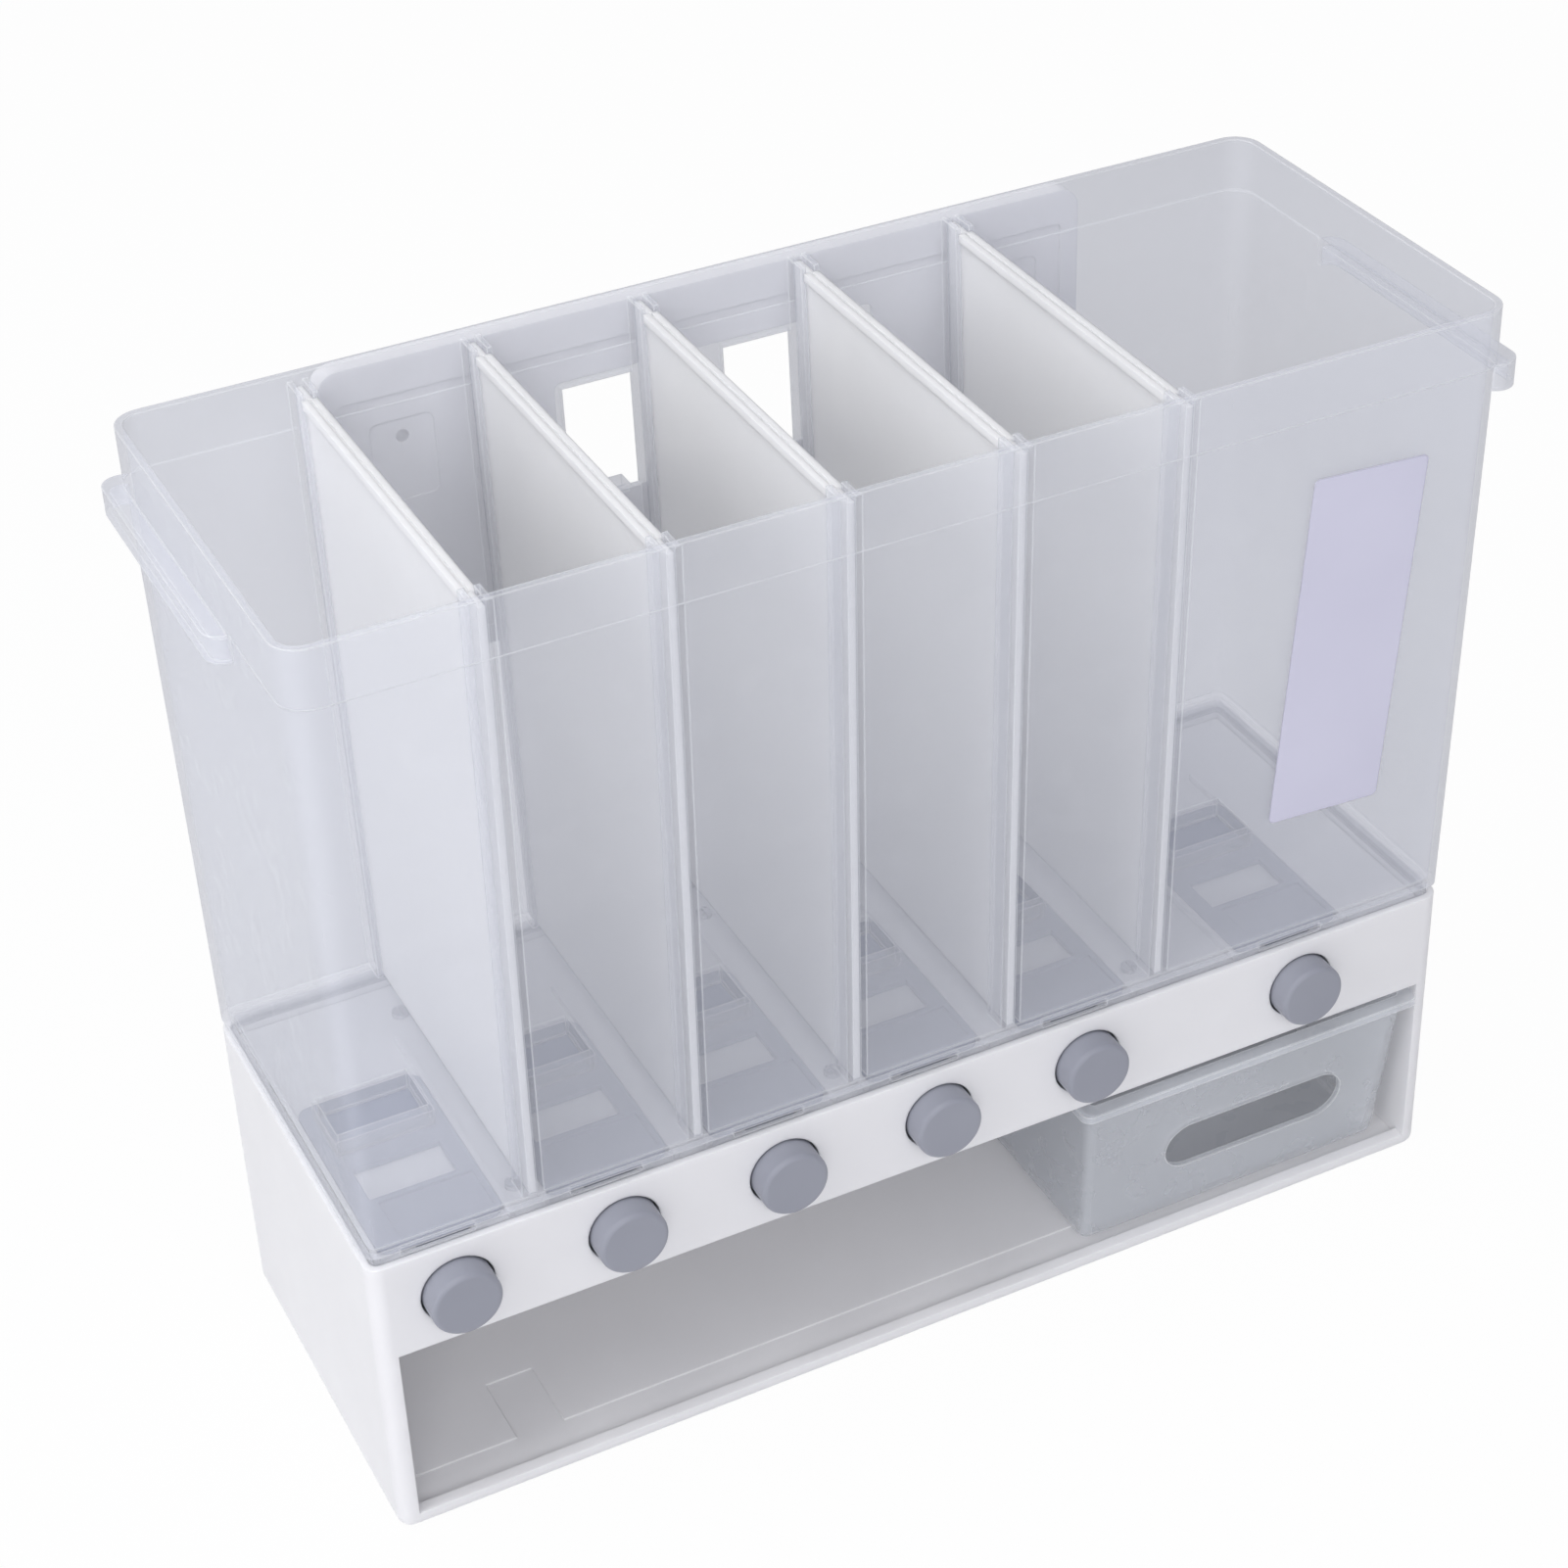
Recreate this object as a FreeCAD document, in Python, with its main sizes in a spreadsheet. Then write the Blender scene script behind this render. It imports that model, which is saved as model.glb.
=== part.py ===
import FreeCAD, Part
import math
import os
import re
import Sketcher

# Wall-mounted dry food dispenser: a frosted tub with five lift-out dividers stands on a white base.
# Six press buttons slide shutter plates under the tub's floor, and what drops out falls into the
# open bay of the base, where a tray collects it.
# Millimetres. +Z is up, the front faces -Y, and the origin is the middle of the footprint.

SIZES = {
    # the tub
    "tub_length": 425.0,
    "tub_depth": 160.7,
    "total_height": 361.5,
    "rim_band": 20.7,
    "rim_step": 0.6,
    "tub_wall": 2.6,
    "tub_floor": 2.0,
    "side_draft": 2.7,
    "face_draft": 6.5,
    "rear_draft": 6.5,
    "rim_corner": 10.0,
    "foot_corner": 5.5,
    "shadow_gap": 5.0,
    "plinth_wall": 1.5,
    "collar_wall": 1.4,
    "slit_length": 26.0,
    "slit_height": 3.0,
    "slit_shift": 3.8,
    # the channels that hold the dividers
    "rib_reach": 10.0,
    "rib_thick": 2.0,
    "rib_drop": 2.5,
    # the side grips under the rim
    "grip_reach": 6.6,
    "grip_length": 109.0,
    "grip_height": 9.8,
    "grip_skin": 2.2,
    # the dividers
    "divider_thick": 2.4,
    "divider_drop": 4.5,
    "divider_play": 0.4,
    "bar_width": 5.4,
    "bar_height": 3.2,
    "groove_width": 1.0,
    "groove_depth": 0.8,
    # the base
    "base_height": 120.2,
    "base_edge": 4.5,
    "base_wall": 2.6,
    "seat_width": 1.6,
    "pillar_width": 6.8,
    "strip_height": 39.6,
    "bay_ceiling": 2.4,
    "bay_floor": 4.0,
    "lip_height": 6.8,
    "lip_thick": 4.8,
    "floor_step": 0.5,
    "step_setback": 19.2,
    "notch_left": 50.6,
    "notch_width": 18.0,
    "notch_depth": 29.0,
    # what drops out
    "outlet_width": 32.8,
    "outlet_depth": 21.0,
    "outlet_setback": 62.0,
    "drop_margin": 0.5,
    "chute_wall": 1.6,
    # the deck plate and its screws
    "deck_drop": 4.4,
    "deck_thick": 1.9,
    "deck_play": 0.3,
    "rail_width": 2.0,
    "rail_setback": 8.0,
    "screw_radius": 1.5,
    "thread_play": 0.05,
    "screw_head_radius": 3.0,
    "screw_head_height": 1.8,
    "screw_length": 12.0,
    "screw_setback": 22.0,
    "boss_radius": 3.6,
    # the sliders
    "slider_spacing": 15.17,
    "slider_length": 80.3,
    "slider_thick": 2.3,
    "slider_setback": 10.2,
    "slider_corner": 5.0,
    "shutter_width": 31.4,
    "shutter_depth": 17.0,
    "shutter_setback": 25.5,
    "recess_depth": 1.1,
    "recess_border": 2.2,
    "recess_left": 13.5,
    "arm_width": 18.0,
    "arm_thick": 2.6,
    "arm_drop": 24.0,
    "arm_play": 0.6,
    "run_gap": 0.3,
    "press_travel": 22.0,
    # the buttons and their springs
    "button_radius": 12.5,
    "button_proud": 9.0,
    "button_drop": 19.2,
    "button_gap": 0.8,
    "button_skin": 2.0,
    "button_edge": 1.8,
    "stem_radius": 4.0,
    "sleeve_wall": 1.5,
    "sleeve_length": 8.0,
    "coil_radius": 4.2,
    "wire_radius": 0.45,
    "coil_play": 0.2,
    "pin_radius": 2.9,
    "pin_length": 12.0,
    # the collecting tray
    "tray_length": 144.6,
    "tray_top_gap": 4.0,
    "tray_proud": 3.3,
    "tray_rim": 3.0,
    "tray_overhang": 3.6,
    "tray_wall": 2.0,
    "tray_side_draft": 3.5,
    "tray_face_draft": 9.0,
    "tray_rear_draft": 4.5,
    "tray_corner": 4.0,
    "tray_edge": 3.5,
    "tray_play": 0.4,
    "tray_rear_gap": 3.0,
    "handle_length": 77.0,
    "handle_height": 21.5,
    "handle_drop": 38.6,
    "handle_shift": 6.2,
    "handle_reach": 30.0,
    # the label
    "label_width": 45.0,
    "label_height": 137.0,
    "label_thick": 0.5,
    "label_play": 0.05,
    "label_corner": 2.0,
    "label_drop": 92.8,
    "label_shift": 6.9,
    "label_tilt": 3.3,
    # the wall bracket and the hooks that hang on it
    "wall_gap": 8.4,
    "bracket_gap": 0.4,
    "bracket_length": 286.5,
    "bracket_height": 117.6,
    "bracket_drop": 4.9,
    "bracket_thick": 2.5,
    "bracket_corner": 7.5,
    "panel_side": 7.0,
    "panel_top": 13.0,
    "panel_step": 0.8,
    "opening_width": 121.2,
    "window_width": 26.0,
    "window_height": 46.5,
    "window_drop": 71.6,
    "window_corner": 3.0,
    "screw_spacing": 230.8,
    "screw_pitch": 74.0,
    "screw_drop": 29.6,
    "wall_screw_radius": 2.3,
    "wall_boss_radius": 6.0,
    "pocket_width": 22.6,
    "pocket_height": 30.0,
    "pocket_above": 6.5,
    "pocket_depth": 1.2,
    "hook_width": 20.0,
    "hook_shelf": 3.0,
    "hook_thick": 2.2,
    "hook_drop": 12.0,
    "hook_play": 0.3,
    # how far a cutting shape runs past what it cuts, and how much an end is less than a half round
    "over": 1.0,
    "flat": 0.1,
}

# The tub is seven pitches long, and the last divider leaves a double space.
SPACES = 7
DIVIDERS = 5
COILS = 8
# The places of the six outlets, in pitches from the first: the sixth space is a double one.
OUTLET_STEPS = (0, 1, 2, 3, 4, 5.5)
# The pairs of ribs that have a hanging window and a hook at their left, counted from 0.
HANGING = (2, 3)
# The left and right sides, for what comes in mirrored pairs.
ENDS = (-1, 1)
# How near two heights are to count as one.
NEAR = 1e-4

PLACES = {
    "overall_depth": "wall_gap + tub_depth - face_draft + button_proud",
    "wall_y": "overall_depth / 2",
    "rim_rear_y": "wall_y - wall_gap",
    "rim_face_y": "rim_rear_y - tub_depth",
    "rim_mid_y": "(rim_rear_y + rim_face_y) / 2",
    "face_y": "rim_face_y + face_draft",
    "base_rear_y": "rim_rear_y - rear_draft",
    "base_mid_y": "(face_y + base_rear_y) / 2",
    "base_length": "tub_length - 2 * side_draft",
    "base_depth": "base_rear_y - face_y",
    "seat_wall": "base_wall + seat_width",
    "rim_z": "total_height - rim_band",
    "floor_z": "base_height + shadow_gap",
    "floor_top_z": "floor_z + tub_floor",
    "cavity_top_z": "total_height + over",
    "cavity_rise": "cavity_top_z - floor_top_z",
    "deck_top_z": "base_height - deck_drop",
    "deck_z": "deck_top_z - deck_thick",
    "slider_z": "deck_top_z + run_gap",
    "slider_top_z": "slider_z + slider_thick",
    "seat_z": "slider_top_z + run_gap",
    "bay_top": "base_height - strip_height",
    "chamber_z": "bay_top + bay_ceiling",
    "button_height": "base_height - button_drop",
    "pitch": f"(tub_length - 2 * tub_wall) / {SPACES}",
    "first_divider_x": "tub_wall + pitch - tub_length / 2",
    "first_x": "first_divider_x - pitch / 2",
    "slider_width": "pitch - slider_spacing",
    "slot_half": "divider_thick / 2 + divider_play",
    "rib_half": "slot_half + rib_thick",
    "divider_z": "floor_top_z + divider_play",
    "divider_top_z": "total_height - divider_drop",
    "foot_share": "(divider_z - floor_top_z) / cavity_rise",
    "top_share": "(divider_top_z - floor_top_z) / cavity_rise",
    "inside_rear_y": "base_rear_y - tub_wall - divider_play",
    "inside_face_y": "face_y + tub_wall + divider_play",
    "outlet_y": "face_y + outlet_setback",
    "drop_width": "outlet_width + 2 * drop_margin",
    "drop_depth": "outlet_depth + 2 * drop_margin",
    "drop_y": "outlet_y - drop_margin",
    "slider_y": "face_y + slider_setback",
    "arm_rear_y": "slider_y + arm_thick",
    "chute_y": "drop_y - chute_wall",
    "hole_radius": "button_radius + button_gap",
    "button_y": "face_y - button_proud",
    "button_length": "button_proud + slider_setback",
    "spring_length": "chute_y - arm_rear_y - 2 * coil_play",
    "tray_right_x": "base_length / 2 - pillar_width - tray_play",
    "tray_mid_x": "tray_right_x - tray_length / 2",
    "tray_face_y": "face_y - tray_proud",
    "tray_rear_y": "base_rear_y - base_wall - tray_rear_gap",
    "tray_z": "bay_floor + floor_step + run_gap",
    "tray_top": "bay_top - tray_top_gap",
    "handle_z": "tray_top - handle_drop",
    "tray_body_length": "tray_length - 2 * tray_overhang",
    "tray_body_face_y": "tray_face_y + tray_overhang",
    "tray_body_mid_y": "(tray_rear_y + tray_body_face_y) / 2",
    "tray_body_depth": "tray_rear_y - tray_body_face_y",
    "label_z": "rim_z - label_drop",
    "bracket_face_y": "rim_rear_y + bracket_gap",
    "bracket_rear_y": "bracket_face_y + bracket_thick",
    "bracket_top_z": "total_height - bracket_drop",
    "bracket_z": "bracket_top_z - bracket_height",
    "screw_line": "bracket_top_z - screw_drop",
    "window_sill": "bracket_top_z - window_drop",
    "sill_top_z": "window_sill + run_gap + hook_shelf",
    "window_top_z": "window_sill + window_height",
    "hook_rear_y": "bracket_rear_y + hook_play + hook_thick",
    "window_shift": "rib_half + window_width / 2",
}

document = FreeCAD.newDocument("Dispenser")


def formula(text):
    """Put the sheet or the set of places in front of each name of theirs."""
    def owner(match):
        word = match.group()
        if word in SIZES:
            return "Sizes." + word
        if word in PLACES:
            return "Places." + word
        return word
    return re.sub(r"[a-z_]+", owner, text)


def bind(thing, path, text):
    thing.setExpression(path, formula(text))


def make_sheet():
    sheet = document.addObject("Spreadsheet::Sheet", "Sizes")
    for row, (word, size) in enumerate(SIZES.items(), start=1):
        sheet.set(f"A{row}", word)
        sheet.set(f"B{row}", str(size))
        sheet.setAlias(f"B{row}", word)
    document.recompute()
    return sheet


def make_places():
    places = document.addObject("App::VarSet", "Places")
    for word, text in PLACES.items():
        places.addProperty("App::PropertyFloat", word, "Places")
        bind(places, word, text)
    document.recompute()
    return places


sheet = make_sheet()
places = make_places()
answers = document.addObject("App::VarSet", "Answers")
answers.addProperty("App::PropertyFloat", "answer", "Answers")


def number(text):
    """The value of a formula, for what reads its sizes in code."""
    bind(answers, "answer", text)
    answers.recompute()
    return answers.answer


# Shapes that stand by themselves


def put(thing, x, y, z):
    for path, text in (("x", x), ("y", y), ("z", z)):
        bind(thing, "Placement.Base." + path, text)


def block(name, x, y, z, length, width, height):
    """A box by its lowest corner."""
    thing = document.addObject("Part::Box", name)
    for path, text in (("Length", length), ("Width", width), ("Height", height)):
        bind(thing, path, text)
    put(thing, x, y, z)
    return thing


def middle_block(name, x, y, z, length, width, height):
    """A box whose middle is at x, and whose lowest corner is at y and z."""
    return block(name, f"({x}) - ({length}) / 2", y, z, length, width, height)


def rod(name, x, y, z, radius, length, lying=False):
    """A cylinder that stands on x, y, z, or lies along +Y from there."""
    thing = document.addObject("Part::Cylinder", name)
    if lying:
        turn = FreeCAD.Rotation(FreeCAD.Vector(1, 0, 0), -90)
        thing.Placement = FreeCAD.Placement(FreeCAD.Vector(), turn)
    bind(thing, "Radius", radius)
    bind(thing, "Height", length)
    put(thing, x, y, z)
    return thing


def draw_rounded(sketch, width, depth, radius):
    """A rounded rectangle about the sketch's own origin."""
    half_x = number(width) / 2
    half_y = number(depth) / 2
    corner = number(radius)
    turns = ((1, -1, -90), (1, 1, 0), (-1, 1, 90), (-1, -1, 180))
    starts = []
    ends = []
    arcs = []
    for side_x, side_y, angle in turns:
        centre = FreeCAD.Vector(side_x * (half_x - corner), side_y * (half_y - corner), 0)
        circle = Part.Circle(centre, FreeCAD.Vector(0, 0, 1), corner)
        arc = Part.ArcOfCircle(circle, math.radians(angle), math.radians(angle + 90))
        arcs.append(arc)
        starts.append(arc.StartPoint)
        ends.append(arc.EndPoint)
    for index in range(4):
        sketch.addGeometry(Part.LineSegment(ends[index - 1], starts[index]), False)
        sketch.addGeometry(arcs[index], False)
    for index in range(8):
        sketch.addConstraint(Sketcher.Constraint("Tangent", index, 2, (index + 1) % 8, 1))
    for line, kind in ((0, "Horizontal"), (2, "Vertical"), (4, "Horizontal"), (6, "Vertical")):
        sketch.addConstraint(Sketcher.Constraint(kind, line))
    for arc in (3, 5, 7):
        sketch.addConstraint(Sketcher.Constraint("Equal", 1, arc))
    sketch.addConstraint(Sketcher.Constraint("Symmetric", 3, 3, 7, 3, -1, 1))
    for name, text, constraint in (
        ("corner", radius, Sketcher.Constraint("Radius", 1, corner)),
        ("width", width, Sketcher.Constraint("DistanceX", 6, 1, 2, 1, 2 * half_x)),
        ("depth", depth, Sketcher.Constraint("DistanceY", 0, 1, 4, 1, 2 * half_y)),
    ):
        index = sketch.addConstraint(constraint)
        sketch.renameConstraint(index, name)
        bind(sketch, "Constraints." + name, text)


def draw_outline(sketch, corners):
    """A closed outline through corners, each given by two formulas."""
    spots = []
    for across, along in corners:
        spots.append(FreeCAD.Vector(number(across), number(along), 0))
    count = len(spots)
    for index in range(count):
        sketch.addGeometry(Part.LineSegment(spots[index], spots[(index + 1) % count]), False)
    for index in range(count):
        sketch.addConstraint(Sketcher.Constraint("Coincident", index, 2, (index + 1) % count, 1))
    for index, texts in enumerate(corners):
        for kind, spot, text in zip(("DistanceX", "DistanceY"), spots[index], texts):
            place = sketch.addConstraint(Sketcher.Constraint(kind, -1, 1, index, 1, spot))
            name = f"{kind}_{index}"
            sketch.renameConstraint(place, name)
            bind(sketch, "Constraints." + name, text)


def draw_rectangle(sketch, left, low, width, depth):
    right = f"({left}) + ({width})"
    high = f"({low}) + ({depth})"
    draw_outline(sketch, [(left, low), (right, low), (right, high), (left, high)])


def rounded(name, x, y, z, width, depth, radius, upright=False):
    """A rounded rectangle, flat at z, or standing at y and facing -Y."""
    sketch = document.addObject("Sketcher::SketchObject", name)
    if upright:
        turn = FreeCAD.Rotation(FreeCAD.Vector(1, 0, 0), 90)
        sketch.Placement = FreeCAD.Placement(FreeCAD.Vector(), turn)
    put(sketch, x, y, z)
    draw_rounded(sketch, width, depth, radius)
    return sketch


def extrude(name, sketch, length):
    thing = document.addObject("Part::Extrusion", name)
    thing.Base = sketch
    thing.DirMode = "Normal"
    thing.Solid = True
    bind(thing, "LengthFwd", length)
    return thing


def slab(name, x, y, z, width, depth, radius, thick, upright=False):
    """A rounded plate: it rises from z, or it stands and runs from y to -Y."""
    return extrude(name, rounded(name + "_outline", x, y, z, width, depth, radius, upright), thick)


def loft(name, sections):
    thing = document.addObject("Part::Loft", name)
    thing.Sections = sections
    thing.Solid = True
    thing.Ruled = True
    return thing


def fuse(name, shapes):
    if len(shapes) == 1:
        return shapes[0]
    thing = document.addObject("Part::MultiFuse", name)
    thing.Shapes = shapes
    return thing


def cut(name, base, tools):
    thing = document.addObject("Part::Cut", name)
    thing.Base = base
    thing.Tool = fuse(name + "_tools", tools)
    return thing


def common(name, shapes):
    thing = document.addObject("Part::MultiCommon", name)
    thing.Shapes = shapes
    return thing


def round_edges(name, base, radius, wanted):
    """Round the edges of base that wanted picks."""
    document.recompute()
    size = number(radius)
    thing = document.addObject("Part::Fillet", name)
    thing.Base = base
    edges = []
    for index, edge in enumerate(base.Shape.Edges, start=1):
        if wanted(edge):
            edges.append((index, size, size))
    thing.Edges = edges
    return thing


def level(edge, height):
    """True for an edge that lies at one height."""
    box = edge.BoundBox
    return abs(box.ZMin - height) < NEAR and abs(box.ZMax - height) < NEAR


# Features of a body


def origin_plane(body, role):
    for feature in body.Origin.OriginFeatures:
        if feature.Role == role:
            return feature
    raise ValueError(role)


def body_sketch(body, name, role):
    sketch = body.newObject("Sketcher::SketchObject", name)
    sketch.AttachmentSupport = (origin_plane(body, role), [""])
    sketch.MapMode = "FlatFace"
    return sketch


def pad(body, name, sketch, length, midplane=False, downward=False):
    thing = body.newObject("PartDesign::Pad", name)
    thing.Profile = sketch
    thing.Midplane = midplane
    thing.Reversed = downward
    bind(thing, "Length", length)
    return thing


def pocket(body, name, sketch, length=None, midplane=False, upward=False):
    """A pocket down from its sketch, or right through where no length is given."""
    thing = body.newObject("PartDesign::Pocket", name)
    thing.Profile = sketch
    if length is None:
        thing.Type = "ThroughAll"
        thing.Midplane = True
    else:
        thing.Midplane = midplane
        thing.Reversed = upward
        bind(thing, "Length", length)
    return thing


def outlet_x(step):
    return f"first_x + {step} * pitch"


def divider_x(index):
    return f"first_divider_x + {index} * pitch"


# The tub


def tub_shell():
    """The drafted outside, the rim band and the side grips, with the inside taken out."""
    foot = rounded("tub_foot", "0", "base_mid_y", "floor_z", "base_length", "base_depth", "foot_corner")
    ledge = rounded("tub_ledge", "0", "rim_mid_y", "rim_z", "tub_length - 2 * rim_step",
                    "tub_depth - 2 * rim_step", "rim_corner")
    sides = loft("tub_sides", [foot, ledge])
    rim = slab("tub_rim", "0", "rim_mid_y", "rim_z", "tub_length", "tub_depth", "rim_corner", "rim_band")
    outside = fuse("tub_outside", [sides, rim])
    grips = [side_grip(side) for side in ENDS]
    low = rounded("cavity_foot", "0", "base_mid_y", "floor_top_z", "base_length - 2 * tub_wall",
                  "base_depth - 2 * tub_wall", "foot_corner - tub_wall")
    high = rounded("cavity_mouth", "0", "rim_mid_y", "cavity_top_z", "tub_length - 2 * tub_wall",
                   "tub_depth - 2 * tub_wall", "rim_corner - tub_wall")
    cavity = loft("tub_cavity", [low, high])
    shell = cut("tub_shell", fuse("tub_with_grips", [outside] + grips), [cavity])
    return shell, outside


def side_grip(side):
    """A flange with a skirt under the rim: at the rear on the left, and at the front on the right."""
    y = "rim_rear_y - over - grip_length / 2" if side < 0 else "rim_face_y + over + grip_length / 2"
    x = f"{side} * tub_length / 2"
    plate = slab("grip", x, y, "rim_z - grip_height", "2 * grip_reach", "grip_length",
                 "grip_reach - flat", "grip_height")
    hollow = slab("grip_hollow", x, y, "rim_z - grip_height - over", "2 * (grip_reach - grip_skin)",
                  "grip_length - 2 * grip_skin", "grip_reach - grip_skin - flat",
                  "grip_height + over - grip_skin")
    return cut("side_grip", plate, [hollow])


def guide_ribs(outside):
    """Pairs of ribs on both long walls. They follow the walls' slope and hold the dividers' edges."""
    blocks = []
    for index in range(DIVIDERS):
        for side in ENDS:
            x = f"{divider_x(index)} + {side} * (slot_half + rib_thick / 2)"
            blocks.append(middle_block("rib", x, "rim_face_y", "floor_top_z - over", "rib_thick",
                                       "tub_depth", "total_height - rib_drop - floor_top_z + over"))
    low = rounded("core_foot", "0", "base_mid_y", "floor_top_z - 2 * over", "base_length",
                  "base_depth - 2 * (tub_wall + rib_reach)", "tub_wall")
    high = rounded("core_mouth", "0", "rim_mid_y", "cavity_top_z", "tub_length",
                   "tub_depth - 2 * (tub_wall + rib_reach)", "tub_wall")
    core = loft("rib_core", [low, high])
    return cut("guide_ribs", common("rib_blocks", [fuse("ribs", blocks), outside]), [core])


def outlet_collars():
    """The short tubes under the floor that reach down to the sliders."""
    collars = []
    for step in OUTLET_STEPS:
        collars.append(middle_block("collar", outlet_x(step), "outlet_y - collar_wall", "seat_z",
                                    "outlet_width + 2 * collar_wall", "outlet_depth + 2 * collar_wall",
                                    "floor_z - seat_z + over / 2"))
    return collars


def outlet_holes():
    rise = "floor_top_z - seat_z + 2 * over"
    return [middle_block("outlet", outlet_x(step), "outlet_y", "seat_z - over", "outlet_width",
                         "outlet_depth", rise) for step in OUTLET_STEPS]


def plinth():
    """The ring under the floor that drops into the base, and the slits in its front wall."""
    inset = "2 * (base_wall + run_gap)"
    ring = slab("plinth", "0", "base_mid_y", "seat_z", f"base_length - {inset}", f"base_depth - {inset}",
                "foot_corner - base_wall - run_gap", "floor_z - seat_z + over / 2")
    inner = slab("plinth_inside", "0", "base_mid_y", "seat_z - over",
                 f"base_length - {inset} - 2 * plinth_wall", f"base_depth - {inset} - 2 * plinth_wall",
                 "foot_corner - base_wall - run_gap - plinth_wall", "floor_z - seat_z + over")
    slits = []
    for step in OUTLET_STEPS:
        slits.append(middle_block("slit", f"{outlet_x(step)} - slit_shift", "face_y",
                                  "base_height + over / 2", "slit_length", "2 * seat_wall", "slit_height"))
    return cut("plinth_ring", ring, [inner] + slits)


def window_x(index):
    return f"{divider_x(index)} - window_shift"


def hanging_windows():
    """Windows in the rear wall, each beside a pair of ribs."""
    windows = []
    inside_y = "rim_rear_y - tub_wall - rear_draft / 2"
    for index in HANGING:
        windows.append(middle_block("hanging_window", window_x(index), inside_y, "sill_top_z",
                                    "window_width", "tub_wall + rear_draft", "window_top_z - sill_top_z"))
    return windows


def hooks():
    """A shelf under each window that runs through the bracket's opening, with a lip behind its plate."""
    parts = []
    inside_y = "rim_rear_y - tub_wall - rear_draft / 3"
    for index in HANGING:
        x = window_x(index)
        parts.append(middle_block("hook_shelf", x, inside_y, "sill_top_z - hook_shelf", "hook_width",
                                  f"hook_rear_y - ({inside_y})", "hook_shelf"))
        parts.append(middle_block("hook_lip", x, "hook_rear_y - hook_thick",
                                  "sill_top_z - hook_shelf - hook_drop", "hook_width", "hook_thick",
                                  "hook_drop + over"))
    return parts


def make_tub():
    shell, outside = tub_shell()
    solid = fuse("tub_solid", [shell, guide_ribs(outside), plinth()] + outlet_collars() + hooks())
    tub = cut("tub", solid, outlet_holes() + hanging_windows())
    tub.Label = "tub"
    return [tub]


# The dividers


def make_divider(index):
    """A plate that follows the slope of the walls, with a grooved bar on its top edge."""
    body = document.addObject("PartDesign::Body", f"divider_{index + 1}")
    low_rear = "inside_rear_y + rear_draft * foot_share"
    low_face = "inside_face_y - face_draft * foot_share"
    high_rear = "inside_rear_y + rear_draft * top_share"
    high_face = "inside_face_y - face_draft * top_share"
    plate = body_sketch(body, "plate_outline", "YZ_Plane")
    draw_outline(plate, [(low_face, "divider_z"), (low_rear, "divider_z"),
                         (high_rear, "divider_top_z"), (high_face, "divider_top_z")])
    pad(body, "plate", plate, "divider_thick", midplane=True)
    bar = body_sketch(body, "bar_outline", "YZ_Plane")
    reach = "rib_reach"
    draw_outline(bar, [(f"{high_face} + {reach}", "divider_top_z - bar_height"),
                       (f"{high_rear} - {reach}", "divider_top_z - bar_height"),
                       (f"{high_rear} - {reach}", "divider_top_z"),
                       (f"{high_face} + {reach}", "divider_top_z")])
    pad(body, "bar", bar, "bar_width", midplane=True)
    groove = body_sketch(body, "groove_outline", "YZ_Plane")
    draw_outline(groove, [(f"{high_face} + {reach}", "divider_top_z - groove_depth"),
                          (f"{high_rear} - {reach}", "divider_top_z - groove_depth"),
                          (f"{high_rear} - {reach}", "divider_top_z + over"),
                          (f"{high_face} + {reach}", "divider_top_z + over")])
    pocket(body, "groove", groove, "groove_width", midplane=True)
    put(body, divider_x(index), "0", "0")
    body.Label = f"divider_{index + 1}"
    return [body]


# The base


def base_outside():
    block_of_base = slab("base_block", "0", "base_mid_y", "0", "base_length", "base_depth", "foot_corner",
                         "base_height")
    return round_edges("base_edges", block_of_base, "base_edge", lambda edge: level(edge, 0))


def base_hollows():
    """The open bay, its stepped floor with a finger notch, the chamber above it and the tub's seat."""
    bay_length = "base_length - 2 * pillar_width"
    rear = "base_rear_y - base_wall"
    mouth = middle_block("bay_mouth", "0", "face_y - over", "lip_height", bay_length,
                         "lip_thick + 2 * over", "bay_top - lip_height")
    room = middle_block("bay_room", "0", "face_y + lip_thick", "bay_floor + floor_step", bay_length,
                        f"{rear} - face_y - lip_thick", "bay_top - bay_floor - floor_step")
    trough = middle_block("bay_trough", "0", "face_y + lip_thick", "bay_floor", bay_length,
                          "step_setback - lip_thick", "2 * floor_step")
    notch = block("floor_notch", "notch_left - base_length / 2", "face_y + step_setback - over",
                  "bay_floor", "notch_width", "notch_depth + over", "2 * floor_step")
    inset = "2 * seat_wall"
    chamber = slab("chamber", "0", "base_mid_y", "chamber_z", f"base_length - {inset}",
                   f"base_depth - {inset}", "foot_corner - seat_wall", "base_height - chamber_z + over")
    seat = slab("tub_seat", "0", "base_mid_y", "seat_z", "base_length - 2 * base_wall",
                "base_depth - 2 * base_wall", "foot_corner - base_wall", "base_height - seat_z + over")
    return [mouth, room, trough, notch, chamber, seat]


def screw_places():
    """Two rows of screws, between sliders."""
    spots = []
    for index in (0, 2, 4):
        for y in ("face_y + screw_setback", "base_rear_y - screw_setback"):
            spots.append((divider_x(index), y))
    return spots


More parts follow.
